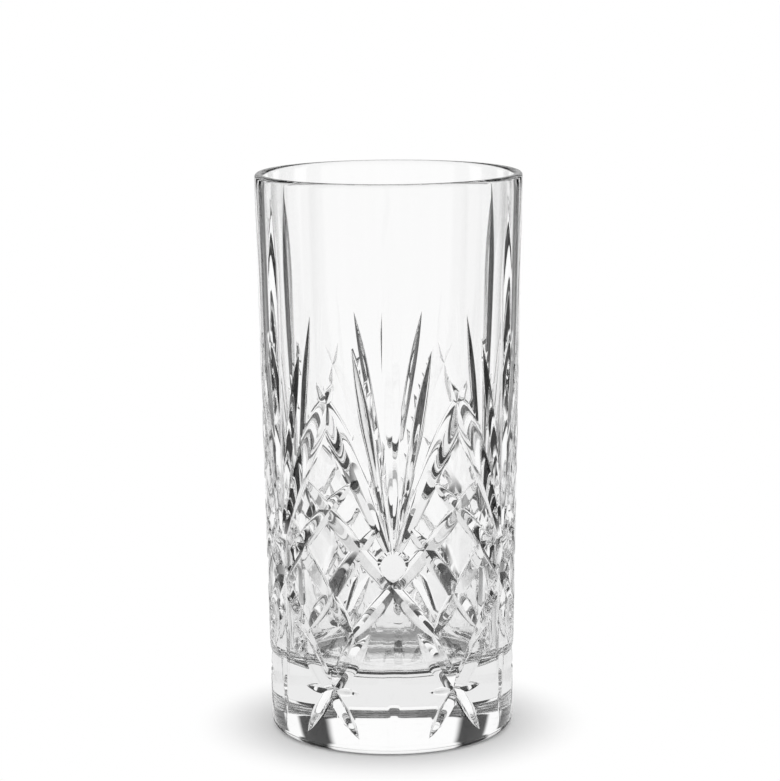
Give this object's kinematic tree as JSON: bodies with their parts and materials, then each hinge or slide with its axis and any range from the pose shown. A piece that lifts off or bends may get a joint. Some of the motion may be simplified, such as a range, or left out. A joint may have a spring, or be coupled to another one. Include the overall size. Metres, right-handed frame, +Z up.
{
  "type": "tall tumbler",
  "caption": "Tall clear glass tumbler, slightly tapered, with a heavy base and mitre-cut fans, diamond lattice and stars on the lower wall, for long drinks.",
  "frame": {"origin": "centre of the foot, in the plane of the table it stands on", "axes": "+Z up along the glass's axis, towards the rim; -Y through the middle of a fan, the side the picture shows"},
  "size_m": [0.0708, 0.0708, 0.15],
  "materials": {
    "glass": "clear colourless glass, fire-polished, smooth"
  },
  "bodies": {
    "root": {"tumbler": "glass"}
  },
  "joints": []
}
